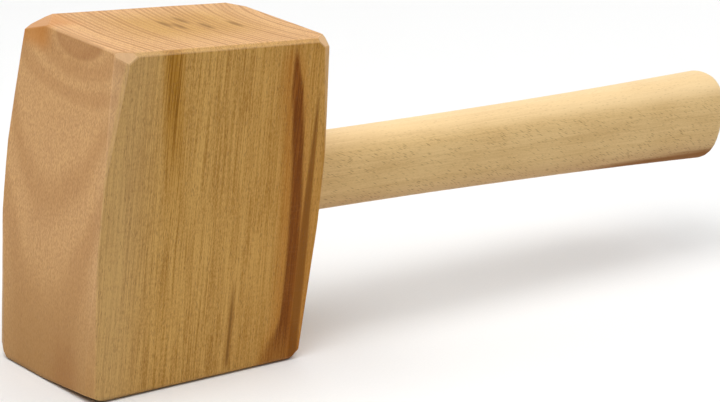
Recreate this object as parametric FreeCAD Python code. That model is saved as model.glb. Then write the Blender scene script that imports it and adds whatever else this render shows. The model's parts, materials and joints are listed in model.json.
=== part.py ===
import FreeCAD, Part
import math
import os

from FreeCAD import Placement, Rotation, Vector

# A joiner's mallet, in millimetres. The head is one block of beech with its grain along its length, and the
# handle is a second piece that enters the middle of the head's underside. The handle's tenon is blind: two
# small fox wedges sit in saw kerfs in its end and spread it inside the flared socket when it is driven home.
#
# Everything is drawn in the head's own frame, where the head's centre is the origin, X runs along the handle,
# Y through the head's thickness and Z along its length. At the end the whole mallet is stood on its lower
# striking face: the origin is the middle of that face, +Z is up and the handle points along +X.

# Head.
head_length = 140.0         # between the striking faces, along the centre line
head_width = 113.0          # from the crown to the underside, at mid-length
head_thickness = 64.0
crown_sag = 2.6             # how far the crown's arc falls back at the striking faces
underside_sag = 1.4         # the same for the underside
face_angle = 1.03           # each striking face's slope, in degrees: the head is longer at the crown

# Edges. A taper is a facet along a long edge that widens from nothing to its full reach at a striking face.
taper_top_start = 19.0      # height above the head's centre where the upper tapers begin
taper_top_reach = (5.3, 3.3)        # across the wide face, then across the crown or underside
taper_bottom_start = -8.0
taper_bottom_reach = (2.2, 4.5)
rim = 1.5                   # chamfer round each striking face
crown_rim_drop = 0.6        # the same chamfer's reach down the crown

# Each of the eight corners is knocked off by hand, with its own reach along X, Y and Z from the full corner.
corner_reach = {
    ("crown", "front", "top"): (11.5, 4.4, 8.0),
    ("crown", "back", "top"): (16.0, 18.0, 5.8),
    ("underside", "front", "top"): (10.0, 7.5, 7.5),
    ("underside", "back", "top"): (7.0, 12.0, 4.0),
    ("crown", "front", "bottom"): (8.0, 40.0, 3.1),
    ("crown", "back", "bottom"): (7.0, 7.0, 7.0),
    ("underside", "front", "bottom"): (7.0, 6.0, 6.0),
    ("underside", "back", "bottom"): (6.0, 6.0, 5.0),
}

# Grip. Its section is a flat oval that swells slowly from the head and faster towards its end.
handle_end = 336.0          # from the head's centre
grip_at_head = (13.5, 16.5)         # half width across Y, half depth along Z
grip_at_end = (15.5, 21.7)
oval_power = 2.4            # 2 is an ellipse, and more is squarer
grip_rise = 0.6             # the grip's axis lies this far above the head's centre
end_rounding = 6.5
grip_overlap = 6.5          # length of grip drawn inside the head before its shoulder is scribed
oval_points = 24
grip_stations = 6

# Blind joint.
socket_depth = 80.0
tenon_width = 18.0          # along Y
tenon_depth = 25.0          # along Z
kerf_depth = 36.0           # saw kerfs in the tenon's end, which is also where the socket begins to flare
kerf_width = 1.2
kerf_place = 5.0            # inner side of each kerf, above and below the tenon's centre
wedge_length = 28.0
spread = 1.8                # how far each wedge pushes its outer tongue at the tenon's end

half_length = head_length / 2
half_width = head_width / 2
half_thickness = head_thickness / 2
slope = math.tan(math.radians(face_angle))
side_sign = {"crown": -1, "underside": 1, "front": -1, "back": 1, "bottom": -1, "top": 1}
side_sag = {"crown": crown_sag, "underside": underside_sag}
tenon_end = half_width - socket_depth
tenon_root = half_width + rim       # past the underside, so that the tenon and the socket reach its arc
waste_size = 3 * head_length


def face_height(x):
    """Height of the upper striking face above the head's centre. The lower one mirrors it."""
    return half_length - slope * x


def side_place(side, z):
    """X of the crown or the underside at a height: a circular arc that falls back by its sag at the ends."""
    sag = side_sag[side]
    radius = (half_length ** 2 + sag ** 2) / (2 * sag)
    fall = radius - math.sqrt(radius ** 2 - z ** 2)
    return side_sign[side] * (half_width - fall)


def edge_end(side, end):
    """X and Z where the crown or the underside would meet a striking face if no edge were cut."""
    x = side_place(side, half_length)
    return x, side_sign[end] * face_height(x)


def barrel():
    """The head before its edges are cut: two straight striking faces and two gentle arcs, drawn in XZ."""
    corners = {(side, end): edge_end(side, end) for side in ("crown", "underside") for end in ("bottom", "top")}
    points = {key: Vector(x, -half_thickness, z) for key, (x, z) in corners.items()}
    edges = []
    for side in ("crown", "underside"):
        middle = Vector(side_place(side, 0), -half_thickness, 0)
        edges.append(Part.Arc(points[side, "bottom"], middle, points[side, "top"]).toShape())
    for end in ("bottom", "top"):
        edges.append(Part.LineSegment(points["crown", end], points["underside", end]).toShape())
    outline = Part.Wire(Part.__sortEdges__(edges))
    return Part.Face(outline).extrude(Vector(0, head_thickness, 0))


def pared(block, first, second, third):
    """Cut away all that lies beyond the plane through three points, on the side away from the centre."""
    outward = (second - first).cross(third - first).normalize()
    if outward.dot(first) < 0:
        outward = outward.negative()
    waste = Part.makeBox(waste_size, waste_size, waste_size, Vector(-waste_size / 2, -waste_size / 2, 0))
    waste.Placement = Placement(first, Rotation(Vector(0, 0, 1), outward))
    return block.cut(waste)


def with_tapers(block):
    """Cut the facets along the four long edges, widening towards both striking faces."""
    tapers = {"top": (taper_top_start, taper_top_reach), "bottom": (taper_bottom_start, taper_bottom_reach)}
    for side in ("crown", "underside"):
        for flank in ("front", "back"):
            wide_face = side_sign[flank] * half_thickness
            for end, (start, (across_wide, across_narrow)) in tapers.items():
                x, z = edge_end(side, end)
                tip = Vector(side_place(side, start), wide_face, start)
                on_wide = Vector(x - side_sign[side] * across_wide, wide_face, z)
                on_narrow = Vector(x, wide_face - side_sign[flank] * across_narrow, z)
                block = pared(block, tip, on_wide, on_narrow)
    return block


def with_rims(block):
    """Chamfer the four sides of each striking face."""
    for end in ("bottom", "top"):
        up = side_sign[end]
        for flank in ("front", "back"):
            outer = side_sign[flank] * half_thickness
            inner = outer - side_sign[flank] * rim
            left = Vector(-half_width, inner, up * face_height(-half_width))
            right = Vector(half_width, inner, up * face_height(half_width))
            below = Vector(0, outer, up * (face_height(0) - rim))
            block = pared(block, left, right, below)
        for side, drop in (("crown", crown_rim_drop), ("underside", rim)):
            x, z = edge_end(side, end)
            inner = x - side_sign[side] * rim
            near = Vector(inner, -half_thickness, up * face_height(inner))
            far = Vector(inner, half_thickness, up * face_height(inner))
            below = Vector(x, 0, z - up * drop)
            block = pared(block, near, far, below)
    return block


def with_corners_off(block):
    """Take off the eight corners."""
    for (side, flank, end), (along_x, along_y, along_z) in corner_reach.items():
        x, z = edge_end(side, end)
        corner = Vector(x, side_sign[flank] * half_thickness, z)
        first = corner - Vector(side_sign[side] * along_x, 0, 0)
        second = corner - Vector(0, side_sign[flank] * along_y, 0)
        third = corner - Vector(0, 0, side_sign[end] * along_z)
        block = pared(block, first, second, third)
    return block


def extruded_across(points, width):
    """A solid from an outline in XZ, centred on the head's middle plane."""
    outline = Part.makePolygon([Vector(x, -width / 2, z) for x, z in points + points[:1]])
    return Part.Face(outline).extrude(Vector(0, width, 0))


def tenon_body(root):
    """The spread tenon from X = root to the socket's bottom, without its kerfs. The socket has this shape."""
    straight = tenon_depth / 2
    flared = straight + spread
    flare_start = tenon_end + kerf_depth
    upper = [(root, straight), (flare_start, straight), (tenon_end, flared)]
    lower = [(x, -z) for x, z in reversed(upper)]
    return extruded_across(upper + lower, tenon_width)


def kerf_gap(from_end):
    """Width of an opened kerf at a distance from the tenon's end."""
    return kerf_width + spread * (1 - from_end / kerf_depth)


def kerf_slice(first, last, side):
    """The part of a kerf between two distances from the tenon's end. Side is 1 above and -1 below."""
    outline = [
        (tenon_end + first, side * kerf_place),
        (tenon_end + last, side * kerf_place),
        (tenon_end + last, side * (kerf_place + kerf_gap(last))),
        (tenon_end + first, side * (kerf_place + kerf_gap(first))),
    ]
    return extruded_across(outline, tenon_width)


def signed_power(value, power):
    return math.copysign(abs(value) ** power, value)


def oval(x, half_y, half_z):
    """The grip's section at X, as a closed smooth curve."""
    points = []
    for step in range(oval_points):
        angle = 2 * math.pi * step / oval_points
        y = half_y * signed_power(math.cos(angle), 2 / oval_power)
        z = half_z * signed_power(math.sin(angle), 2 / oval_power)
        points.append(Vector(x, y, grip_rise + z))
    curve = Part.BSplineCurve()
    curve.interpolate(Points=points, PeriodicFlag=True)
    return Part.Wire([curve.toShape()])


def grip(block):
    """The oval handle outside the head, with its shoulder scribed to the underside's arc."""
    sections = [oval(half_width - grip_overlap, *grip_at_head)]
    for station in range(grip_stations):
        along = station / (grip_stations - 1)
        x = half_width + along * (handle_end - half_width)
        halves = [near + (far - near) * along ** 2 for near, far in zip(grip_at_head, grip_at_end)]
        sections.append(oval(x, *halves))
    body = Part.makeLoft(sections, True)
    end_edges = [edge for edge in body.Edges if edge.BoundBox.XMin > handle_end - 1]
    return body.makeFillet(end_rounding, end_edges).cut(block)


def make_head(block):
    return with_corners_off(with_rims(with_tapers(block))).cut(tenon_body(tenon_root))


def make_handle(block):
    body = grip(block).fuse(tenon_body(tenon_root).common(block))
    for side in (1, -1):
        body = body.cut(kerf_slice(0, kerf_depth, side))
    return body.removeSplitter()


def make_wedge(side):
    return kerf_slice(0, wedge_length, side)


def stood_up(shape):
    """Stand the mallet on its lower striking face, with the middle of that face at the origin."""
    turn = Rotation(Vector(0, 1, 0), face_angle)
    lift = turn.multVec(Vector(0, 0, half_length))
    placed = shape.copy()
    placed.Placement = Placement(lift, turn).multiply(shape.Placement)
    return placed


def main():
    block = barrel()
    nodes = {
        "head": make_head(block),
        "handle": make_handle(block),
        "fox_wedge_upper": make_wedge(1),
        "fox_wedge_lower": make_wedge(-1),
    }
    os.makedirs("parts", exist_ok=True)
    for name, shape in nodes.items():
        placed = stood_up(shape)
        placed.exportStep(f"parts/{name}.step")
        print(name, len(placed.Solids), placed.isValid(), round(placed.Volume), placed.BoundBox)


main()
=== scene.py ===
import json
import math

import bmesh
import bpy
import numpy as np
from mathutils import Matrix, Vector, noise
from mathutils.bvhtree import BVHTree


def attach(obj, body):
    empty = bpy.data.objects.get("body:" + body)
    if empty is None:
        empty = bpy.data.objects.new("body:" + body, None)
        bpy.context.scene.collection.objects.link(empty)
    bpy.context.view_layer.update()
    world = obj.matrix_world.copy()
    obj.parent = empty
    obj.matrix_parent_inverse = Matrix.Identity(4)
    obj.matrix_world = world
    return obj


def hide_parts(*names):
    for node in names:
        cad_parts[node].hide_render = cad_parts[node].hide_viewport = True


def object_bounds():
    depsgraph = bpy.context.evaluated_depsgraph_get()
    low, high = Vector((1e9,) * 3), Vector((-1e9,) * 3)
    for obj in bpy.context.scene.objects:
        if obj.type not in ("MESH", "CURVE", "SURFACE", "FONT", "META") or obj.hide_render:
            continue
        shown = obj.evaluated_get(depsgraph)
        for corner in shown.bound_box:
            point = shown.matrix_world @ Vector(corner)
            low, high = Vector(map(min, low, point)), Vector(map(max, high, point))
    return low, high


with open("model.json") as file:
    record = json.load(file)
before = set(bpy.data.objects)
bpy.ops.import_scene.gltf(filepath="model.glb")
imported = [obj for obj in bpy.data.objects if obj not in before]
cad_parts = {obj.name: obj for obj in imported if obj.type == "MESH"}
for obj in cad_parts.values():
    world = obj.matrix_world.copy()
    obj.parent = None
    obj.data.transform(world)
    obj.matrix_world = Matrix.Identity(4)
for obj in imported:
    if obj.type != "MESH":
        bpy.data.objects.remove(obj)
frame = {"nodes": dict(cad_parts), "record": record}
cad_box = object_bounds()

# A joiner's mallet: a beech head, a beech handle and the two hidden wedges that lock it. Lengths are in
# metres, and in millimetres inside the materials.
# Everything is worked out in the head's own frame, where the head's centre is the origin, X runs along the
# handle, Y through the head's thickness and Z along its length, and is then put into the row's frame, which
# is tipped a little because the mallet stands on a striking face that isn't square to the handle.

MM = 0.001

mounts = {mount["name"]: mount for mount in frame["record"]["mounts"]}
upper_face = mounts["striking_face_upper"]
tip_angle = math.atan2(upper_face["axis"][0], upper_face["axis"][2]) / 2
head_middle = Vector(upper_face["pos_m"]) / 2
half_length = head_middle.length
to_row = Matrix.Translation(head_middle) @ Matrix.Rotation(tip_angle, 4, "Y")
to_head = to_row.inverted()
grip_rise = (to_head @ Vector(mounts["grip"]["pos_m"])).z


# Meshes.

WELD = MM / 1000            # points closer than this are the same point
CUT_WELD = WELD / 10        # and a point closer than this to a cut lies on it
MERGE = 0.5 * MM            # corners of the CAD head closer than this become one
CREASE = math.radians(2)    # edges sharper than this are eased
FLAT = CREASE / 10          # and faces that meet at less than this are one face
EDGE_EASE = 0.45 * MM       # how far from an edge its easing starts
EDGE_SEGMENTS = 3           # rows of faces in an eased edge
CELL = 2.5 * MM             # spacing of the cuts that divide the head's faces
RING_STEP = 1.4 * MM        # between the handle's rings
RING_POINTS = 112           # in each ring
END_FAN = 24                # rings that close the handle's end
END_DEPTH = 17 * MM         # the fan's centre lies this far inside the end
SHOULDER_SINK = 0.2 * MM    # the shoulder is pressed this far into the head
JOINT_REACH = 5 * MM        # the tenon and the socket's cutter run on this far past the underside
SKIN = 0.05 * MM            # a face deeper than this inside the head belongs to the joint
SQUARE_TO_AXIS = 0.95       # a face whose normal has no larger part than this is a slanting facet
CORNER_SLANT = 0.15         # and one whose smallest part is more than this is a knocked-off corner
FACET_WEAR_AND_HIGHLIGHT = 0.3            # how much the slanting facets are paled, partly by use and partly as a painted highlight, from 0 to 1
EDGE_WEAR = 0.4
CORNER_WEAR_AND_HIGHLIGHT = 1.0
BROAD_HOLLOW = 38 * MM      # lengths of the shallow hollows in the head's faces
SMALL_HOLLOW = 11 * MM
HOLLOW_DEPTHS = (0.10, 0.11, 0.03)  # in millimetres: the average, and how far broad and small ones differ
GRIP_WAVE = (60, 12, 12)    # lengths of the waves in the handle's grip, in millimetres
WAVE_DEPTHS = (0.05, 0.06)  # in millimetres: the average, and how far they differ


def cad_points(node):
    """The corners of a CAD node's mesh in the head's frame."""
    return np.array([to_head @ vert.co for vert in frame["nodes"][node].data.vertices])


def cad_mesh(node):
    """A CAD node's mesh in the head's frame, with its faces joined up."""
    mesh = bmesh.new()
    mesh.from_mesh(frame["nodes"][node].data)
    mesh.transform(to_head)
    bmesh.ops.remove_doubles(mesh, verts=mesh.verts, dist=WELD)
    return mesh


def head_hull():
    """The outside of the CAD head, which is convex, without its socket."""
    mesh = bmesh.new()
    for point in cad_points("head"):
        mesh.verts.new(point)
    bmesh.ops.remove_doubles(mesh, verts=mesh.verts, dist=MERGE)
    hull = bmesh.ops.convex_hull(mesh, input=mesh.verts)
    loose = {item for key in ("geom_interior", "geom_unused") for item in hull[key]}
    loose_verts = [item for item in loose if isinstance(item, bmesh.types.BMVert)]
    bmesh.ops.delete(mesh, geom=loose_verts, context="VERTS")
    bmesh.ops.dissolve_limit(mesh, angle_limit=FLAT, verts=mesh.verts, edges=mesh.edges)
    return mesh


def ease_edges(mesh):
    """Round every crease a little, as sandpaper does. Returns the new faces."""
    creases = [edge for edge in mesh.edges if edge.calc_face_angle() > CREASE]
    made = bmesh.ops.bevel(
        mesh, geom=creases, offset=EDGE_EASE, segments=EDGE_SEGMENTS, profile=0.5, affect="EDGES"
    )
    return made["faces"]


def divide(mesh):
    """Cut the mesh along evenly spaced planes across all three axes, so that it can take a fine relief."""
    corners = np.array([vert.co for vert in mesh.verts])
    for axis, (low, high) in enumerate(zip(corners.min(axis=0), corners.max(axis=0))):
        normal = Vector([float(axis == other) for other in range(3)])
        for place in np.arange(low + CELL / 2, high, CELL):
            everything = [*mesh.verts, *mesh.edges, *mesh.faces]
            bmesh.ops.bisect_plane(
                mesh, geom=everything, plane_co=normal * place, plane_no=normal, dist=CUT_WELD
            )


def joint_block(node):
    """The part of a CAD node's surface that lies inside the head, run on past the underside and closed."""
    planes = [(face.verts[0].co.copy(), face.normal.copy()) for face in HULL.faces]
    mesh = cad_mesh(node)

    def depth(point):
        return min((corner - point).dot(normal) for corner, normal in planes)

    outside = [face for face in mesh.faces if depth(face.calc_center_median()) < SKIN]
    bmesh.ops.delete(mesh, geom=outside, context="FACES")
    mouth = [edge for edge in mesh.edges if edge.is_boundary]
    drawn = bmesh.ops.extrude_edge_only(mesh, edges=mouth)["geom"]
    drawn_verts = [item for item in drawn if isinstance(item, bmesh.types.BMVert)]
    bmesh.ops.translate(mesh, verts=drawn_verts, vec=(JOINT_REACH, 0, 0))
    bmesh.ops.holes_fill(mesh, edges=mesh.edges, sides=0)
    bmesh.ops.recalc_face_normals(mesh, faces=mesh.faces)
    return plain_object(node + "_joint", mesh)


def plain_object(name, mesh):
    """An object from a bmesh in the head's frame."""
    data = bpy.data.meshes.new(name)
    mesh.transform(to_row)
    mesh.to_mesh(data)
    mesh.free()
    piece = bpy.data.objects.new(name, data)
    bpy.context.scene.collection.objects.link(piece)
    return piece


def combine(piece, tool, operation):
    """Cut or join a piece with a tool, and remove the tool."""
    modifier = piece.modifiers.new("joint", "BOOLEAN")
    modifier.object = tool
    modifier.operation = operation
    modifier.solver = "EXACT"
    bpy.context.view_layer.update()
    shape = piece.evaluated_get(bpy.context.evaluated_depsgraph_get())
    made = bpy.data.meshes.new_from_object(shape)
    piece.modifiers.clear()
    piece.data = made
    bpy.data.objects.remove(tool)


def shade_smooth(piece):
    """Smooth shading in which each point takes its normal mostly from its largest faces, so that flat faces
    look flat right up to their eased edges."""
    mesh = piece.data
    mesh.shade_smooth()
    normals = np.zeros((len(mesh.vertices), 3))
    for face in mesh.polygons:
        normals[list(face.vertices)] += np.array(face.normal) * face.area ** 2
    normals /= np.linalg.norm(normals, axis=1)[:, None]
    mesh.normals_split_custom_set_from_vertices(normals.tolist())


def head_relief(point):
    """Shallow hollows left by the plane and the sander, at most a quarter of a millimetre deep."""
    average, broad, small = HOLLOW_DEPTHS
    depth = average + broad * noise.noise(point / BROAD_HOLLOW) + small * noise.noise(point / SMALL_HOLLOW)
    return max(0.0, depth) * MM


def handle_relief(point):
    """The turned grip is sanded by hand, which leaves long and very shallow waves."""
    average, swing = WAVE_DEPTHS
    stretched = Vector([place / length for place, length in zip(point, GRIP_WAVE)]) / MM
    return max(0.0, average + swing * noise.noise(stretched)) * MM


def press_in(mesh, depth_at):
    """Move each vertex inwards along its normal by depth_at its place."""
    mesh.normal_update()
    for vert in mesh.verts:
        vert.co -= vert.normal * depth_at(vert.co)


def facet_wear_and_highlight(normal):
    """How much a flat face of the head is paled, partly by use and partly as a painted highlight: not at
    all, or a little if it slants, or more at a corner.
    """
    smallest, _, largest = sorted(abs(part) for part in normal)
    if smallest > CORNER_SLANT:
        return CORNER_WEAR_AND_HIGHLIGHT
    return FACET_WEAR_AND_HIGHLIGHT if largest < SQUARE_TO_AXIS else 0.0


def make_head():
    """The head: the CAD block with rubbed and eased edges, facets and corners paled partly as a painted
    highlight, and a faint relief, cut out for the tenon.
    """
    mesh = HULL.copy()
    wear_and_highlight_layer = mesh.faces.layers.float.new("wear_and_highlight")
    # Slanting facets and knocked-off corners are paled partly for use and partly as a painted highlight.
    for face in mesh.faces:
        face[wear_and_highlight_layer] = facet_wear_and_highlight(face.normal)
    for face in ease_edges(mesh):
        face[wear_and_highlight_layer] = EDGE_WEAR
    divide(mesh)
    press_in(mesh, head_relief)
    head = plain_object("head_block", mesh)
    combine(head, joint_block("head"), "DIFFERENCE")
    shade_smooth(head)
    return head


def grip_rings(tree, head_tree, shoulder, end):
    """Rings of points from the scribed shoulder to the handle's rounded end."""
    angles = [2 * math.pi * step / RING_POINTS for step in range(RING_POINTS)]
    radials = [Vector((0, math.cos(angle), math.sin(angle))) for angle in angles]
    centre = Vector((end - END_DEPTH, 0, grip_rise))

    def onto_grip(start, direction):
        return tree.ray_cast(start + direction * half_length, -direction)[0]

    seats = []
    for radial in radials:
        beside = onto_grip(Vector((shoulder + RING_STEP, 0, grip_rise)), radial)
        seat = head_tree.ray_cast(beside + Vector((half_length, 0, 0)), Vector((-1, 0, 0)))[0]
        seats.append(seat - Vector((SHOULDER_SINK, 0, 0)))
    rings = [seats]
    for station in np.arange(shoulder + RING_STEP, centre.x, RING_STEP):
        rings.append([onto_grip(Vector((station, 0, grip_rise)), radial) for radial in radials])
    for step in range(END_FAN):
        turn = math.pi / 2 * step / END_FAN
        outward = Vector((math.sin(turn), 0, 0))
        rings.append([onto_grip(centre, outward + radial * math.cos(turn)) for radial in radials])
    return rings


def make_handle():
    """The handle: rings round the CAD grip from its scribed shoulder to its rounded end, and the tenon."""
    tree = BVHTree.FromBMesh(cad_mesh("handle"))
    shoulder = cad_points("head")[:, 0].max()
    end = cad_points("handle")[:, 0].max()
    mesh = bmesh.new()
    places = grip_rings(tree, HULL_TREE, shoulder, end)
    rings = [[mesh.verts.new(point) for point in ring] for ring in places]
    for ring, following in zip(rings, rings[1:]):
        for step in range(RING_POINTS):
            after = (step + 1) % RING_POINTS
            mesh.faces.new([ring[step], ring[after], following[after], following[step]])
    press_in(mesh, handle_relief)
    mesh.faces.new(rings[0][::-1])
    tip = mesh.verts.new(sum((vert.co for vert in rings[-1]), Vector()) / RING_POINTS)
    for step in range(RING_POINTS):
        mesh.faces.new([rings[-1][step], rings[-1][(step + 1) % RING_POINTS], tip])
    handle = plain_object("handle_grip", mesh)
    combine(handle, joint_block("handle"), "UNION")
    shade_smooth(handle)
    return handle


HULL = head_hull()
HULL_TREE = BVHTree.FromBMesh(HULL)


# Materials.

head_corners = cad_points("head") / MM
crown_x, front_y, lower_z = (float(value) for value in head_corners.min(axis=0))
shoulder_x, back_y, upper_z = (float(value) for value in head_corners.max(axis=0))
grip_end_x = float(cad_points("handle")[:, 0].max() / MM)


def srgb(red, green, blue):
    """A linear colour from its usual 0 to 255 values."""
    def linear(value):
        value /= 255
        return value / 12.92 if value <= 0.04045 else ((value + 0.055) / 1.055) ** 2.4
    return (linear(red), linear(green), linear(blue), 1.0)


NOISE_DETAIL = 2.0
SPECK_SIZE = 0.36        # as a share of a cell
SPECK_FADE = 0.1         # how far a speck's strength varies with its chance


class Shader:
    """One material's node tree, with short calls that add nodes and link them."""

    def __init__(self, name):
        self.material = bpy.data.materials.new(name)
        self.material.use_nodes = True
        self.tree = self.material.node_tree
        self.tree.nodes.clear()

    def add(self, kind, inputs, **settings):
        """Add a node. Inputs are sockets of other nodes to link, or plain values."""
        node = self.tree.nodes.new(kind)
        for key, value in settings.items():
            setattr(node, key, value)
        sockets = {socket.name: socket for socket in node.inputs if socket.enabled}
        for key, value in inputs.items():
            socket = node.inputs[key] if isinstance(key, int) else sockets[key]
            if isinstance(value, bpy.types.NodeSocket):
                self.tree.links.new(value, socket)
            else:
                socket.default_value = value
        return node

    def math(self, operation, *values):
        """One sum, product or other operation of the math node."""
        return self.add("ShaderNodeMath", dict(enumerate(values)), operation=operation).outputs[0]

    def total(self, first, *others):
        """The sum of all the values."""
        for other in others:
            first = self.math("ADD", first, other)
        return first

    def times(self, first, *others):
        """The product of all the values."""
        for other in others:
            first = self.math("MULTIPLY", first, other)
        return first

    def swing(self, value, reach):
        """A noise's value, which lies about a half, turned into one that lies about zero."""
        return self.times(self.total(value, -0.5), reach)

    def step(self, value, low, high):
        """0 below low, 1 above high and smooth between. With low above high it falls instead."""
        inputs = {"Value": value, "From Min": low, "From Max": high}
        return self.add("ShaderNodeMapRange", inputs, interpolation_type="SMOOTHSTEP").outputs["Result"]

    def band(self, value, middle, half_width, softness):
        """1 within half_width of the middle, falling smoothly to 0 over the softness outside it."""
        distance = self.math("ABSOLUTE", self.math("SUBTRACT", value, middle))
        return self.step(self.math("SUBTRACT", distance, half_width), softness, 0.0)

    def vector(self, x, y, z):
        """Three values as one vector."""
        return self.add("ShaderNodeCombineXYZ", {"X": x, "Y": y, "Z": z}).outputs[0]

    def split(self, vector):
        """A vector's three values."""
        return tuple(self.add("ShaderNodeSeparateXYZ", {"Vector": vector}).outputs)

    def vectors(self, operation, first, second):
        """One operation of the vector math node on two vectors."""
        return self.add("ShaderNodeVectorMath", {0: first, 1: second}, operation=operation).outputs[0]

    def near(self, value, face, full, gone):
        """1 near a face, falling smoothly to 0 between full and gone, two signed distances from it."""
        return self.step(value, face + gone, face + full)

    def length(self, x, y):
        """The length of a flat vector."""
        flat = self.vector(x, y, 0.0)
        return self.add("ShaderNodeVectorMath", {0: flat}, operation="LENGTH").outputs["Value"]

    def noise(self, vector, lengths, roughness=0.5):
        """Smooth noise whose blots have these lengths along the three axes."""
        place = self.vectors("DIVIDE", vector, lengths)
        inputs = {"Vector": place, "Scale": 1.0, "Detail": NOISE_DETAIL, "Roughness": roughness}
        return self.add("ShaderNodeTexNoise", inputs)

    def wobble(self, vector, lengths, reach):
        """A smooth random shift of up to about reach each way."""
        colour = self.noise(vector, lengths).outputs["Color"]
        return self.vectors("MULTIPLY", self.vectors("SUBTRACT", colour, (0.5, 0.5, 0.5)), [2 * reach] * 3)

    def specks(self, vector, lengths, share):
        """Soft specks, one in this share of the cells of the given lengths."""
        place = self.vectors("DIVIDE", vector, lengths)
        node = self.add("ShaderNodeTexVoronoi", {"Vector": place, "Scale": 1.0})
        chance = self.split(node.outputs["Color"])[0]
        chosen = self.step(chance, 1 - share - SPECK_FADE, 1 - share + SPECK_FADE)
        return self.times(self.step(node.outputs["Distance"], SPECK_SIZE, SPECK_SIZE / 2), chosen)

    def mix(self, factor, first, second):
        """The first colour where the factor is 0, and the second where it is 1."""
        node = self.add("ShaderNodeMix", {"Factor": factor, "A": first, "B": second}, data_type="RGBA")
        return next(socket for socket in node.outputs if socket.enabled)

    def stain(self, colour, mask, stain):
        """The colour, taken towards a stain's tint where the mask is 1, as strongly as the stain says."""
        strength, tint = stain
        return self.mix(self.times(mask, strength), colour, srgb(*tint))

    def finish(self, inputs, height, depth):
        """Close the tree with a surface shader whose bumps are depth metres high."""
        bump = self.add("ShaderNodeBump", {"Height": height, "Distance": depth, "Strength": 1.0})
        surface = self.add("ShaderNodeBsdfPrincipled", {"Normal": bump.outputs[0], **inputs})
        self.add("ShaderNodeOutputMaterial", {"Surface": surface.outputs[0]})
        return self.material


def head_place(shader):
    """A point's place in the head's frame, in millimetres."""
    coordinates = shader.add("ShaderNodeTexCoord", {})
    inputs = {
        "Vector": coordinates.outputs["Object"],
        "Location": (0, 0, -half_length / MM),
        "Rotation": (0, -tip_angle, 0),
        "Scale": (1 / MM, 1 / MM, 1 / MM),
    }
    return shader.add("ShaderNodeMapping", inputs).outputs[0]


# The wood's grain. Each noise and kind of speck has its usual lengths in millimetres: two across the grain
# and one along it.

BEND_LENGTHS = (60, 60, 130)     # the grain bends slowly over these lengths,
BEND_REACH = 1.5                 # by up to about this much,
WAVER_LENGTHS = (4, 4, 30)       # and wavers over these
WAVER_REACH = 0.2
LAYERS = (3.5, 50, 220)
FIBRES = (0.5, 0.5, 40)
FIBRE_ROUGHNESS = 0.6
STRANDS = (1.5, 1.5, 60)
CLOUDS = (26, 26, 50)
MOTTLE = (0.38, 0.38, 1.2)
PORES = (0.6, 0.8, 3.4)
PORE_SHARE = 0.5
RAYS = (12, 0.6, 4.4)
RAY_SHARE = 0.75
RAY_SLANT = 0.4                  # the fine rays don't quite follow the grain
LATE_WOOD_EDGE = 0.88            # the dark part of a year's ring ends over the last of its width
YEARS = (-0.5, 1.0)              # sets how much the rings of different years differ


def beech(shader, place, pith, lean, ring_width):
    """Masks of a beech board's rings, fibres, pores and rays, and a few kinds of noise. The grain runs
    along place's Z, and the tree's middle lies at pith and leans by lean along X for each millimetre."""
    bend = shader.wobble(place, BEND_LENGTHS, BEND_REACH)
    waver = shader.wobble(place, WAVER_LENGTHS, WAVER_REACH)
    place = shader.vectors("ADD", place, shader.vectors("ADD", bend, waver))
    across, up, along = shader.split(place)
    from_pith = shader.total(across, shader.times(along, lean), -pith[0])
    radius = shader.length(from_pith, shader.total(up, -pith[1]))

    ring = shader.math("DIVIDE", radius, ring_width)
    part = shader.math("FRACT", ring)
    year = shader.add("ShaderNodeTexWhiteNoise", {"W": shader.math("FLOOR", ring)}, noise_dimensions="1D")
    strength = shader.step(year.outputs["Value"], *YEARS)
    late_wood = shader.times(shader.math("POWER", part, 2.0), shader.step(part, 1.0, LATE_WOOD_EDGE))
    grown = shader.vector(radius, up, along)
    slanted = shader.vector(radius, shader.total(up, shader.times(along, RAY_SLANT)), along)
    return {
        "rings": shader.times(late_wood, strength),
        "waves": shader.times(shader.math("PINGPONG", ring, 0.5), 2.0, strength),
        "layers": shader.noise(grown, LAYERS).outputs["Fac"],
        "fibres": shader.noise(place, FIBRES, FIBRE_ROUGHNESS).outputs["Fac"],
        "strands": shader.noise(place, STRANDS).outputs["Fac"],
        "clouds": shader.noise(place, CLOUDS).outputs["Fac"],
        "mottle": shader.noise(place, MOTTLE).outputs["Fac"],
        "pores": shader.specks(place, PORES, PORE_SHARE),
        "rays": shader.specks(slanted, RAYS, RAY_SHARE),
    }


OIL_SHEEN = srgb(255, 214, 160)


def oiled(colour, roughness, gloss):
    """The inputs of an oiled wooden surface. The oil makes its reflections a little warm."""
    return {
        "Base Color": colour,
        "Roughness": roughness,
        "Specular IOR Level": gloss,
        "Specular Tint": OIL_SHEEN,
    }


def board_colour(shader, wood, board):
    """A board's plain colour, from pale where its tone is 0 to dark where it is 1. The rings and the noises
    change the board's middle tone as far as it says."""
    swings = [shader.swing(wood[name], reach) for name, reach in board["swings"].items()]
    tone = shader.total(board["tone"], shader.times(wood["rings"], board["rings"]), *swings)
    return shader.mix(shader.step(tone, 0.0, 1.0), srgb(*board["pale"]), srgb(*board["dark"]))


# The figure of the head and the handle, with lengths in millimetres in the head's frame. A stain is a
# strength and a tint. Where two distances from a face are given, a mark is whole up to the first and gone at
# the second. Widths are half widths, and softness is the distance over which a mark fades out beside them.
# Levels are the values of a noise between which a mark grows from nothing to whole.

CROWN_SAG = 2.6          # how far the crown falls back from its middle to its ends
OUTER_DEPTHS = (6, 9)    # of the tree's pinker outer wood, under the crown
FACE_SKIN = 0.4          # it stays this far from the front and the back


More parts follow.
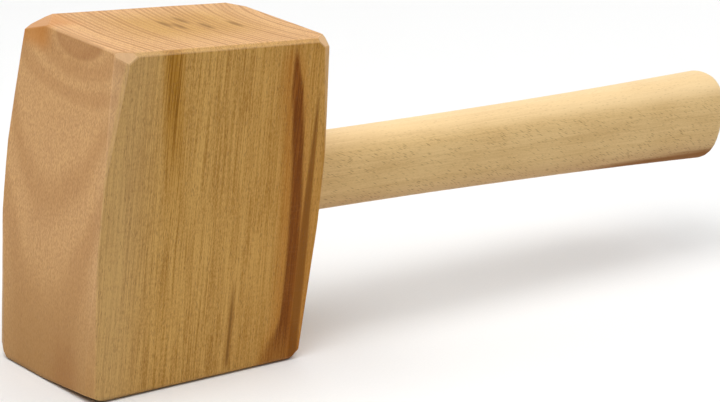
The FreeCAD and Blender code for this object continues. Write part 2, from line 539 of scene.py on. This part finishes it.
def outer_wood(shader, x, y, z):
    """1 in the outer wood, which follows the crown's curve."""
    height = shader.times(z, 1 / upper_z)
    fall = shader.times(height, height, CROWN_SAG)
    deep = shader.near(shader.math("SUBTRACT", x, fall), crown_x, *OUTER_DEPTHS)
    return shader.times(deep, shader.band(y, 0, back_y - 3 * FACE_SKIN, softness=2 * FACE_SKIN))


HEART_DEPTHS = (12, 26)  # the streaks lie this deep under the front
HEART_INSET = 12.3       # the dark streak's middle, from the shoulder face
HEART_WAVER = 2.0
HEART_BOW = 0.00095      # how it bows away from the shoulder, per square millimetre of height
HEART_BOW_HEIGHT = -35   # the height where it comes nearest
HEART_TOP_GAP = 3        # between its point and the upper striking face
HEART_START = (-2, 9)    # it grows dark between these lengths below its point,
HEART_POINT = 24         # and wide over this one
HEART_WIDTH = 2.3        # which it keeps down to its foot
HEART_FOOT = 24          # it widens over this height above the lower striking face,
FOOT_WIDTH = 4.0         # by this much on each side,
FOOT_SOFTNESS = 8.0      # and gets softer edges
FOOT_FADE = 0.6          # and this much paler
HEART_STREAK = (0.93, (124, 66, 0))
HEART_RIM = 0.6          # the streak fades from this far inside its width
HEART_SOFTNESS = 2.4
HEART_HALO = (0.45, (176, 104, 20))
HALO_SHIFT = -1.5        # the halo is a little nearer the crown
HALO_SOFTNESS = 8.0
HEART_CORE = (0.3, (142, 70, 4))
CORE_RIM = 0.7           # and its redder core from here
CORE_SOFTNESS = 1.6
HEART_DARK_LINES = (0.55, (98, 46, 0))
DARK_FIBRE_LEVELS = (0.46, 0.6)
HEART_GRAIN = (0.35, (92, 44, 0))
GRAIN_LEVELS = (0.46, 0.62)
HEART_PALE_LINES = (0.4, (168, 104, 34))
PALE_FIBRE_LEVELS = (0.44, 0.36)


def dark_streak(shader, colour, wood, x, y, z):
    """The dark red-brown streak down the front near the shoulder. It starts in a point below the upper
    striking face, bows gently and spreads into a brown foot at the lower one."""
    skin = shader.near(y, front_y, *HEART_DEPTHS)
    height = shader.total(z, -HEART_BOW_HEIGHT)
    bow = shader.times(height, height, -HEART_BOW)
    middle = shader.total(bow, shader.swing(wood["strands"], HEART_WAVER), shoulder_x - HEART_INSET)
    below_top = shader.math("SUBTRACT", upper_z - HEART_TOP_GAP, z)
    foot = shader.near(z, lower_z, 0, HEART_FOOT)
    point = shader.times(shader.step(below_top, 0, HEART_POINT), HEART_WIDTH)
    half_width = shader.total(point, shader.times(foot, FOOT_WIDTH))
    started = shader.times(shader.step(below_top, *HEART_START), skin)
    faded = shader.math("SUBTRACT", 1.0, shader.times(foot, FOOT_FADE))

    halo = shader.band(x, shader.total(middle, HALO_SHIFT), half_width, HALO_SOFTNESS)
    colour = shader.stain(colour, shader.times(halo, started), HEART_HALO)
    softness = shader.total(shader.times(foot, FOOT_SOFTNESS), HEART_SOFTNESS)
    streak = shader.band(x, middle, shader.total(half_width, -HEART_RIM), softness)
    streak = shader.times(streak, started, faded)
    colour = shader.stain(colour, streak, HEART_STREAK)
    core = shader.band(x, middle, shader.total(half_width, -CORE_RIM), CORE_SOFTNESS)
    core = shader.times(core, started, shader.math("SUBTRACT", 1.0, foot))
    colour = shader.stain(colour, core, HEART_CORE)
    dark_lines = shader.times(shader.step(wood["fibres"], *DARK_FIBRE_LEVELS), streak)
    colour = shader.stain(colour, dark_lines, HEART_DARK_LINES)
    grain = shader.times(shader.step(wood["mottle"], *GRAIN_LEVELS), streak)
    colour = shader.stain(colour, grain, HEART_GRAIN)
    pale_lines = shader.times(shader.step(wood["fibres"], *PALE_FIBRE_LEVELS), streak)
    return shader.stain(colour, pale_lines, HEART_PALE_LINES)


THIN_STREAK = (0.82, (126, 72, 6))
THIN_INSET = 7.1         # the thin streak's middle, from the shoulder face
THIN_WAVER = 1.2
THIN_TOP = 46            # it starts at this height,
THIN_FULL = -20          # and is as wide as it gets at this one
THIN_WIDTH = 1.5
THIN_SOFTNESS = 1.5
THIN_START = (THIN_TOP + 6, THIN_TOP - 12)  # it grows dark between these heights
THIN_GLOW = (0.5, (178, 104, 24))
GLOW_SHIFT = 2           # the glow beside it is nearer the shoulder
GLOW_WIDTH = 3.0
GLOW_SOFTNESS = 4.0


def thin_streak(shader, colour, wood, x, y, z):
    """The thin streak between the dark one and the shoulder, with a warm glow beside it."""
    skin = shader.near(y, front_y, *HEART_DEPTHS)
    glow = shader.band(x, shoulder_x - THIN_INSET + GLOW_SHIFT, GLOW_WIDTH, GLOW_SOFTNESS)
    glow = shader.times(glow, shader.step(z, THIN_TOP, lower_z), skin)
    colour = shader.stain(colour, glow, THIN_GLOW)
    middle = shader.total(shader.swing(wood["strands"], THIN_WAVER), shoulder_x - THIN_INSET)
    half_width = shader.times(shader.step(z, THIN_TOP, THIN_FULL), THIN_WIDTH)
    thin = shader.band(x, middle, half_width, THIN_SOFTNESS)
    return shader.stain(colour, shader.times(thin, shader.step(z, *THIN_START), skin), THIN_STREAK)


FRONT_DEPTHS = (8, 16)   # the front's marks lie this deep
FRONT_WAVER = 2.4
GREY_STRIP = (0.4, (196, 164, 116))
GREY_WIDTHS = (8, 36)    # from the crown
GREY_DEPTHS = (1, 8)
WARM_SIDE = (0.3, (188, 128, 40))
WARM_START = -10         # the wood grows warmer from here to the shoulder
OCHRE_BAND = (0.7, (172, 116, 2))
OCHRE_INSET = 35.5       # the ochre band's middle, from the crown's tip
OCHRE_LEAN = -0.1        # along X for each millimetre of height
OCHRE_FOOT = -10         # it fades to nothing at this height,
OCHRE_TOP_GAP = 10       # and is whole this far below the upper striking face
OCHRE_WIDTH = 1.5        # of the band, and of the darker middle and the lines in it
OCHRE_SOFTNESS = 6.0
OCHRE_MIDDLE = (0.16, (122, 76, 0))
MIDDLE_WIDTH = 0.4
MIDDLE_SOFTNESS = 2.4
OCHRE_LINES = (0.75, (118, 70, 2))
LINES_WIDTH = 3.0
LINES_SOFTNESS = 2.0
LINE_LEVELS = (0.5, 0.62)


def front_figure(shader, colour, wood, x, y, z):
    """A greyer strip by the crown, warmer wood towards the shoulder, and a soft ochre band that fades
    downwards."""
    front = shader.near(y, front_y, *FRONT_DEPTHS)
    grey = shader.times(shader.near(x, crown_x, *GREY_WIDTHS), shader.near(y, front_y, *GREY_DEPTHS))
    colour = shader.stain(colour, grey, GREY_STRIP)
    warm = shader.times(shader.step(x, WARM_START, shoulder_x), front)
    colour = shader.stain(colour, warm, WARM_SIDE)

    waver = shader.swing(wood["strands"], FRONT_WAVER)
    middle = shader.total(shader.times(z, OCHRE_LEAN), waver, crown_x + OCHRE_INSET)
    reach = shader.times(shader.step(z, OCHRE_FOOT, upper_z - OCHRE_TOP_GAP), front)
    ochre = shader.times(reach, shader.band(x, middle, OCHRE_WIDTH, OCHRE_SOFTNESS))
    colour = shader.stain(colour, ochre, OCHRE_BAND)
    heart = shader.times(reach, shader.band(x, middle, MIDDLE_WIDTH, MIDDLE_SOFTNESS))
    colour = shader.stain(colour, heart, OCHRE_MIDDLE)
    lines = shader.times(
        reach,
        shader.band(x, middle, LINES_WIDTH, LINES_SOFTNESS),
        shader.step(wood["fibres"], *LINE_LEVELS),
    )
    return shader.stain(colour, lines, OCHRE_LINES)


SHORT_LINE = (0.65, (112, 70, 20))
SHORT_WIDTH = 0.2
SHORT_SOFTNESS = 0.9
SHORT_HALO = (0.45, (150, 98, 34))
SHORT_HALO_WIDTH = 0.4
SHORT_HALO_SOFTNESS = 2.6
SHORT_INSET = 42.5       # from the shoulder face
SHORT_WAVER = 0.72
SHORT_TOP = (-24, -44)   # it grows dark between these heights
SHORT_FOOT = (2, 9)      # and ends between these heights above the lower striking face


def short_line(shader, colour, wood, x, y, z):
    """A short dark line low on the front."""
    front = shader.near(y, front_y, *FRONT_DEPTHS)
    line = shader.total(shader.swing(wood["strands"], SHORT_WAVER), shoulder_x - SHORT_INSET)
    foot, full = SHORT_FOOT
    reach = shader.times(shader.step(z, *SHORT_TOP), shader.step(z, lower_z + foot, lower_z + full), front)
    halo = shader.times(reach, shader.band(x, line, SHORT_HALO_WIDTH, SHORT_HALO_SOFTNESS))
    colour = shader.stain(colour, halo, SHORT_HALO)
    core = shader.times(reach, shader.band(x, line, SHORT_WIDTH, SHORT_SOFTNESS))
    return shader.stain(colour, core, SHORT_LINE)


CROWN_WOOD = (0.75, (214, 169, 120))
CROWN_MOTTLE = (0.42, (166, 116, 74))
MOTTLE_LEVELS = (0.42, 0.62)
CROWN_RINGS = (0.3, (160, 110, 60))
RING_LEVELS = (0.15, 0.8)
PATCH = (0.45, (160, 106, 62))
PATCH_MIDDLE = -6        # along Y, at the upper striking face
PATCH_SHAPE = (0.7, 1.3)  # how fast it ends along Y and along Z
PATCH_EDGE = (11.5, 9.5)  # its radius, where it starts and where it is whole
PATCH_RAGGED = 3.0       # how uneven its edge and the arcs are
ARCS = (0.28, (164, 112, 64))
ARC_RADII = (17, 29)     # darker arcs round the dark patch
ARC_WIDTH = 1.5
ARC_SOFTNESS = 4.0
LOW_CROWN = (0.6, (164, 122, 68))
LOW_STAIN = (0.35, (158, 104, 60))
LOW_STAIN_HEIGHTS = (8, 30)
LOW_STAIN_MIDDLE = -14   # along Y
LOW_STAIN_WIDTH = 3
LOW_STAIN_SOFTNESS = 9


def crown_figure(shader, colour, wood, x, y, z):
    """The tree's pinker outer wood on the crown: mottled, with a dark patch by the upper striking face and
    arcs round it, and darker low down."""
    outer = outer_wood(shader, x, y, z)
    colour = shader.stain(colour, outer, CROWN_WOOD)
    mottle = shader.times(shader.step(wood["mottle"], *MOTTLE_LEVELS), outer)
    colour = shader.stain(colour, mottle, CROWN_MOTTLE)
    rings = shader.times(shader.step(wood["waves"], *RING_LEVELS), outer)
    colour = shader.stain(colour, rings, CROWN_RINGS)

    across = shader.times(shader.total(y, -PATCH_MIDDLE), PATCH_SHAPE[0])
    down = shader.times(shader.total(z, -upper_z), PATCH_SHAPE[1])
    reach = shader.total(shader.length(across, down), shader.swing(wood["mottle"], PATCH_RAGGED))
    patch = shader.times(shader.step(reach, *PATCH_EDGE), outer)
    colour = shader.stain(colour, patch, PATCH)
    for radius in ARC_RADII:
        arc = shader.times(shader.band(reach, radius, ARC_WIDTH, ARC_SOFTNESS), outer)
        colour = shader.stain(colour, arc, ARCS)

    low = shader.times(shader.step(z, 0, lower_z), outer)
    colour = shader.stain(colour, low, LOW_CROWN)
    blot = shader.band(y, LOW_STAIN_MIDDLE, LOW_STAIN_WIDTH, LOW_STAIN_SOFTNESS)
    blot = shader.times(blot, shader.near(z, lower_z, *LOW_STAIN_HEIGHTS), outer)
    return shader.stain(colour, blot, LOW_STAIN)


END_GRAIN = (0.75, (226, 178, 124))
END_GRAIN_REACH = (-0.5, -0.1)   # it starts this far from the plane of the upper striking face
YELLOW_MIDDLE = (0.78, (194, 148, 60))
YELLOW_ALONG = (4, 14, 34)       # its middle, half width and softness along X,
YELLOW_ACROSS = (2, 6, 22)       # and along Y
END_RINGS = (0.78, (160, 106, 42))
END_RING_LEVELS = (-0.1, 1.0)
END_RING_LAYERS = 1.0            # how much the layers and the mottle break the rings up
END_RING_MOTTLE = 0.8
END_GRIT = (0.45, (176, 118, 60))
GRIT_LEVELS = (0.45, 0.66)
CHECKS = (0.92, (140, 94, 0))
CHECK_PLACES = ((-4, 4.5), (0, 0), (7, 8), (12, -2), (27, -2))  # along X and Y
CHECK_NARROWNESS = 3.0           # how much shorter they are along X than along Y
CHECK_RAGGED = 6.0               # how uneven their edges are
CHECK_EDGE = (7.5, 1.6)          # their radius, where they start and where they are whole


def upper_figure(shader, colour, wood, x, y, z):
    """End grain on the upper striking face: pinker wood, yellower in the middle, with rings and a few small
    dark checks."""
    above = shader.total(z, shader.times(x, math.tan(tip_angle)), -half_length / MM)
    upper = shader.step(above, *END_GRAIN_REACH)
    colour = shader.stain(colour, upper, END_GRAIN)
    yellow = shader.times(upper, shader.band(x, *YELLOW_ALONG), shader.band(y, *YELLOW_ACROSS))
    colour = shader.stain(colour, yellow, YELLOW_MIDDLE)
    layers = shader.swing(wood["layers"], END_RING_LAYERS)
    rings = shader.total(wood["waves"], layers, shader.swing(wood["mottle"], END_RING_MOTTLE))
    rings = shader.times(shader.step(rings, *END_RING_LEVELS), upper)
    colour = shader.stain(colour, rings, END_RINGS)
    grit = shader.times(shader.step(wood["mottle"], *GRIT_LEVELS), upper)
    colour = shader.stain(colour, grit, END_GRIT)
    for along, across in CHECK_PLACES:
        aside = shader.times(shader.total(x, -along), CHECK_NARROWNESS)
        reach = shader.length(aside, shader.total(y, -across))
        ragged = shader.total(reach, shader.swing(wood["mottle"], CHECK_RAGGED))
        check = shader.times(shader.step(ragged, *CHECK_EDGE), upper)
        colour = shader.stain(colour, check, CHECKS)
    return colour


# Pale rubbed wood on the edges, and on slanting facets and corners partly a painted highlight.
WORN_AND_HIGHLIT_WOOD = (0.62, (238, 198, 154))
WEAR_AND_HIGHLIGHT_FROM = 30           # the paling by use and painted highlight fades downwards, to nothing this far below the lower striking face,
WEAR_AND_HIGHLIGHT_FULL = 50           # and is whole from this height
BURNISHED = (0.6, (194, 122, 46))
BURNISHED_LENGTHS = (10, 24)     # from the crown
BURNISHED_START = (8, 18)        # along Y, towards the back
BURNISHED_HEIGHTS = (-6, -13)    # from the upper striking face
# Painted shade: a darker line along the lower edge, where the head stands on the floor.
PAINTED_LOWER_EDGE_SHADE = (0.4, (104, 84, 64))
LOWER_EDGE_SHADE_HEIGHTS = (0.5, 3)        # from the lower striking face


def use_marks_and_painted_light(shader, colour, wear_and_highlight, x, y, z):
    """What use has left on the head, and painted light: pale rubbed edges and facets, partly a painted
    highlight on slanting facets and corners, a burnished upper back corner, and painted shade along the
    lower edge."""
    # paler rubbed edges and facets, on slanting facets and corners partly a painted highlight
    colour = shader.stain(colour, wear_and_highlight, WORN_AND_HIGHLIT_WOOD)
    burnished = shader.times(
        shader.near(x, crown_x, *BURNISHED_LENGTHS),
        shader.step(y, *BURNISHED_START),
        shader.near(z, upper_z, *BURNISHED_HEIGHTS),
    )
    colour = shader.stain(colour, burnished, BURNISHED)
    # painted shade along the lower edge
    return shader.stain(colour, shader.near(z, lower_z, *LOWER_EDGE_SHADE_HEIGHTS), PAINTED_LOWER_EDGE_SHADE)


HEAD_BOARD = {
    "tone": 0.4,
    "rings": 0.18,
    "swings": {"layers": 0.4, "fibres": 1.8, "mottle": 1.3, "strands": 0.3, "clouds": 0.3},
    "pale": (211, 166, 93),
    "dark": (162, 115, 48),
}
HEAD_PITH = (105, 0)
HEAD_LEAN = 0.07
HEAD_RING_WIDTH = 2.8
HEAD_RAYS = (0.12, (150, 98, 50))
HEAD_PORES = (0.45, (112, 72, 26))
OUTER_PORES = 0.7        # how much weaker the pores are in the outer wood
HEAD_ROUGHNESS = 0.44
HEAD_ROUGH_FIBRES = 0.16
HEAD_SMOOTH_WEAR = -0.06  # worn wood is smoother
HEAD_GLOSS = 0.2
HEAD_PORE_BUMP = -1.2    # pores and late wood are lower than the fibres, as shares of the bumps' height
HEAD_RING_BUMP = -0.3
HEAD_BUMP = 0.05 * MM


def head_beech():
    """Oiled beech, yellow-brown with fine dark fibres, heartwood streaks and a pinker outside on the
    crown."""
    shader = Shader("head_beech")
    place = head_place(shader)
    x, y, z = shader.split(place)
    wood = beech(shader, place, HEAD_PITH, HEAD_LEAN, HEAD_RING_WIDTH)
    colour = board_colour(shader, wood, HEAD_BOARD)
    for figure in (front_figure, short_line, crown_figure, upper_figure, dark_streak, thin_streak):
        colour = figure(shader, colour, wood, x, y, z)

    inner = shader.math("SUBTRACT", 1.0, shader.times(outer_wood(shader, x, y, z), OUTER_PORES))
    colour = shader.stain(colour, wood["rays"], HEAD_RAYS)
    colour = shader.stain(colour, shader.times(wood["pores"], inner), HEAD_PORES)
    # paler rubbed edges and facets, on slanting facets and corners partly a painted highlight
    wear_and_highlight = shader.add("ShaderNodeAttribute", {}, attribute_name="wear_and_highlight").outputs["Fac"]
    wear_and_highlight = shader.times(wear_and_highlight, shader.step(z, lower_z - WEAR_AND_HIGHLIGHT_FROM, WEAR_AND_HIGHLIGHT_FULL))
    colour = use_marks_and_painted_light(shader, colour, wear_and_highlight, x, y, z)

    rough_fibres = shader.times(wood["fibres"], HEAD_ROUGH_FIBRES)
    roughness = shader.total(rough_fibres, shader.times(wear_and_highlight, HEAD_SMOOTH_WEAR), HEAD_ROUGHNESS)
    pore_bumps = shader.times(wood["pores"], HEAD_PORE_BUMP)
    height = shader.total(wood["fibres"], pore_bumps, shader.times(wood["rings"], HEAD_RING_BUMP))
    return shader.finish(oiled(colour, roughness, HEAD_GLOSS), height, HEAD_BUMP)


HANDLE_BOARD = {
    "tone": 0.35,
    "rings": 0.25,
    "swings": {"layers": 0.5, "fibres": 0.7, "mottle": 0.5, "clouds": 0.6},
    "pale": (231, 198, 141),
    "dark": (198, 158, 100),
}
HANDLE_PITH = (70, -25)
HANDLE_LEAN = 0.012
HANDLE_RING_WIDTH = 2.9
# A painted highlight: the upper side of the grip is made paler, where the lamps light it most.
PAINTED_TOP_HIGHLIGHT = (0.5, (250, 220, 172))
TOP_HIGHLIGHT_HEIGHTS = (10.5, 18)
# Painted shade: the grip is made darker towards its underside.
PAINTED_UNDERSIDE_SHADE = (0.55, (170, 130, 94))
UNDERSIDE_SHADE_HEIGHTS = (-4, -17)
GRIP_STREAK = (0.82, (120, 66, 12))
STREAK_START = 95        # the brown streak starts this far before the handle's end,
STREAK_GROWTH = (-15, 30)  # and grows dark over these lengths from there
STREAK_TOP = -13.7       # the height of its upper edge there,
STREAK_RISE = 0.02       # how that edge rises towards the end,
STREAK_RAGGED = 2.0      # how uneven it is,
STREAK_EDGE = (-0.8, 3.4)  # and how far below it the streak grows dark
STREAK_BACK = (6, -2)    # along Y, it begins and is whole at these places, and covers the front
FLECKS = (0.55, (142, 100, 50))
FLECKS_BACK = (0, -8)    # so do the flecks at these,
FLECKS_TOP = (15, 9)     # and at these heights, downwards
HANDLE_PORES = (0.2, (150, 108, 62))
HANDLE_ROUGHNESS = 0.45
HANDLE_ROUGH_FIBRES = 0.14
ROUGH_STREAK = 0.3       # the streak is rougher
HANDLE_GLOSS = 0.15
HANDLE_RAY_BUMP = -0.6
HANDLE_BUMP = 0.03 * MM


def grip_streak(shader, wood, x, y, z):
    """1 in the brown streak low on the front of the grip near its end."""
    start = grip_end_x - STREAK_START
    rise = shader.times(shader.total(x, -start), STREAK_RISE)
    strands = shader.swing(wood["strands"], STREAK_RAGGED)
    edge = shader.total(rise, STREAK_TOP, strands, shader.swing(wood["fibres"], STREAK_RAGGED))
    below = shader.step(shader.math("SUBTRACT", edge, z), *STREAK_EDGE)
    first, full = STREAK_GROWTH
    return shader.times(below, shader.step(y, *STREAK_BACK), shader.step(x, start + first, start + full))


def handle_beech():
    """Pale sanded beech with short dark flecks, a painted highlight along the top, painted shade along the
    underside, and a brown streak low on the front near the end.
    """
    shader = Shader("handle_beech")
    place = head_place(shader)
    x, y, z = shader.split(place)
    wood = beech(shader, shader.vector(y, z, x), HANDLE_PITH, HANDLE_LEAN, HANDLE_RING_WIDTH)
    colour = board_colour(shader, wood, HANDLE_BOARD)
    # painted highlight along the top of the grip
    colour = shader.stain(colour, shader.step(z, *TOP_HIGHLIGHT_HEIGHTS), PAINTED_TOP_HIGHLIGHT)
    # painted shade along the underside of the grip
    colour = shader.stain(colour, shader.step(z, *UNDERSIDE_SHADE_HEIGHTS), PAINTED_UNDERSIDE_SHADE)
    streak = grip_streak(shader, wood, x, y, z)
    colour = shader.stain(colour, streak, GRIP_STREAK)
    flecks = shader.times(wood["rays"], shader.step(y, *FLECKS_BACK), shader.step(z, *FLECKS_TOP))
    colour = shader.stain(colour, flecks, FLECKS)
    colour = shader.stain(colour, wood["pores"], HANDLE_PORES)

    rough_fibres = shader.times(wood["fibres"], HANDLE_ROUGH_FIBRES)
    roughness = shader.total(rough_fibres, shader.times(streak, ROUGH_STREAK), HANDLE_ROUGHNESS)
    height = shader.total(wood["fibres"], shader.times(wood["rays"], HANDLE_RAY_BUMP))
    return shader.finish(oiled(colour, roughness, HANDLE_GLOSS), height, HANDLE_BUMP)


WEDGE_PITH = (30, 40)
WEDGE_LEAN = 0.02
WEDGE_RING_WIDTH = 2.4
WEDGE_RINGS = 0.3
WEDGE_TONES = (0.1, 1.1)
WEDGE_PALE = (222, 184, 134)
WEDGE_DARK = (182, 136, 84)
SAW_PITCH = 7.0          # of the saw marks, in radians for each millimetre
SAW_TONE = 0.06
SAW_BUMP = 0.5
WEDGE_ROUGHNESS = 0.62
WEDGE_ROUGH_FIBRES = 0.1
WEDGE_BUMP = 0.08 * MM


def wedge_wood():
    """Sawn beech for the hidden fox wedges, with saw marks across the grain."""
    shader = Shader("wedge_wood")
    place = head_place(shader)
    x, y, z = shader.split(place)
    wood = beech(shader, shader.vector(y, z, x), WEDGE_PITH, WEDGE_LEAN, WEDGE_RING_WIDTH)
    marks = shader.math("SINE", shader.times(x, SAW_PITCH))
    rings = shader.times(wood["rings"], WEDGE_RINGS)
    tone = shader.total(wood["fibres"], rings, shader.times(marks, SAW_TONE))
    colour = shader.mix(shader.step(tone, *WEDGE_TONES), srgb(*WEDGE_PALE), srgb(*WEDGE_DARK))
    roughness = shader.total(shader.times(wood["fibres"], WEDGE_ROUGH_FIBRES), WEDGE_ROUGHNESS)
    height = shader.total(wood["fibres"], shader.times(marks, SAW_BUMP))
    return shader.finish({"Base Color": colour, "Roughness": roughness}, height, WEDGE_BUMP)


FLOOR_SPECKLE = 1.1 * MM
FLOOR_BUMP = 0.02 * MM
FLOOR_DARKER = (238, 238, 238)
FLOOR_LIGHTER = (244, 244, 243)
FLOOR_ROUGHNESS = 0.9


def pale_floor():
    """A matt, nearly white studio floor."""
    shader = Shader("pale_floor")
    coordinates = shader.add("ShaderNodeTexCoord", {})
    speckle = shader.noise(coordinates.outputs["Object"], [FLOOR_SPECKLE] * 3).outputs["Fac"]
    colour = shader.mix(speckle, srgb(*FLOOR_DARKER), srgb(*FLOOR_LIGHTER))
    return shader.finish({"Base Color": colour, "Roughness": FLOOR_ROUGHNESS}, speckle, FLOOR_BUMP)


# Stage.

VIEW_TURN = math.radians(-44)       # the camera stands left of the front
VIEW_HEIGHT = math.radians(17.38)   # and looks down
VIEW_ROLL = math.radians(5.66)      # with its right side dipped, so that the handle rises
VIEW_DISTANCE = 1.143               # from the point it aims at
VIEW_LENS = 131.7                   # millimetres, for a 36 mm wide sensor
AIM_ALONG = 0.4235                  # the middle of the picture, as shares of the mallet's length and height
AIM_UP = 0.3623
FLOOR_HALF = 6.0                    # half the floor's width
WORLD_GLOW = 0.125                  # the strength of the faint even light from all round


def make_camera():
    """The camera, aimed at a point in the mallet's middle plane."""
    low, high = cad_box
    aim = Vector((low[0] + AIM_ALONG * (high[0] - low[0]), 0, AIM_UP * high[2]))
    turn = Matrix.Rotation(VIEW_TURN, 4, "Z") @ Matrix.Rotation(math.pi / 2 - VIEW_HEIGHT, 4, "X")
    turn = turn @ Matrix.Rotation(VIEW_ROLL, 4, "Z")
    camera = bpy.data.objects.new("camera", bpy.data.cameras.new("camera"))
    camera.data.lens = VIEW_LENS
    camera.data.clip_end = 4 * FLOOR_HALF
    camera.matrix_world = Matrix.Translation(aim) @ turn @ Matrix.Translation((0, 0, VIEW_DISTANCE))
    bpy.context.scene.collection.objects.link(camera)
    bpy.context.scene.camera = camera


def make_floor():
    """A wide square floor under the mallet."""
    points = [(x, y, 0) for x, y in ((-1, -1), (1, -1), (1, 1), (-1, 1))]
    mesh = bpy.data.meshes.new("floor")
    mesh.from_pydata([Vector(point) * FLOOR_HALF for point in points], [], [(0, 1, 2, 3)])
    floor = bpy.data.objects.new("floor", mesh)
    bpy.context.scene.collection.objects.link(floor)
    mesh.materials.append(pale_floor())


def softbox(name, turn, height, distance, size, watts):
    """A square area light that faces the mallet, at a turn and height in degrees as for the camera."""
    light = bpy.data.lights.new(name, "AREA")
    light.size = size
    light.energy = watts
    lamp = bpy.data.objects.new(name, light)
    turned = Matrix.Rotation(math.radians(turn), 4, "Z")
    facing = turned @ Matrix.Rotation(math.radians(90 - height), 4, "X")
    lamp.matrix_world = Matrix.Translation(head_middle) @ facing @ Matrix.Translation((0, 0, distance))
    lamp.visible_camera = False
    bpy.context.scene.collection.objects.link(lamp)


def make_lights():
    """Big soft lights: a strong one high on the left, one overhead, one low behind for the sheen on the
    upper face, one on the right for the front, and a weak one by the camera."""
    world = bpy.data.worlds.new("studio")
    world.use_nodes = True
    background = world.node_tree.nodes["Background"]
    background.inputs["Color"].default_value = (1, 1, 1, 1)
    background.inputs["Strength"].default_value = WORLD_GLOW
    bpy.context.scene.world = world
    softbox("top_left", turn=-90, height=62, distance=1.6, size=1.3, watts=18.2)
    softbox("overhead", turn=0, height=85, distance=1.6, size=1.6, watts=10.2)
    softbox("behind", turn=136, height=22, distance=1.8, size=1.4, watts=7.5)
    softbox("right", turn=80, height=35, distance=1.8, size=1.2, watts=11.1)
    softbox("camera_side", turn=-44, height=45, distance=1.8, size=1.2, watts=3.8)
    bpy.context.scene.view_settings.view_transform = "Standard"


def finish_piece(piece, node, material):
    """Give a piece its material, and let it stand for its CAD node."""
    piece.data.materials.append(material)
    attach(piece, "root")
    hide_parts(node)


finish_piece(make_head(), "head", head_beech())
finish_piece(make_handle(), "handle", handle_beech())
wedge_material = wedge_wood()
for node in ("fox_wedge_upper", "fox_wedge_lower"):
    frame["nodes"][node].data.materials.clear()
    frame["nodes"][node].data.materials.append(wedge_material)
make_camera()
make_floor()
make_lights()
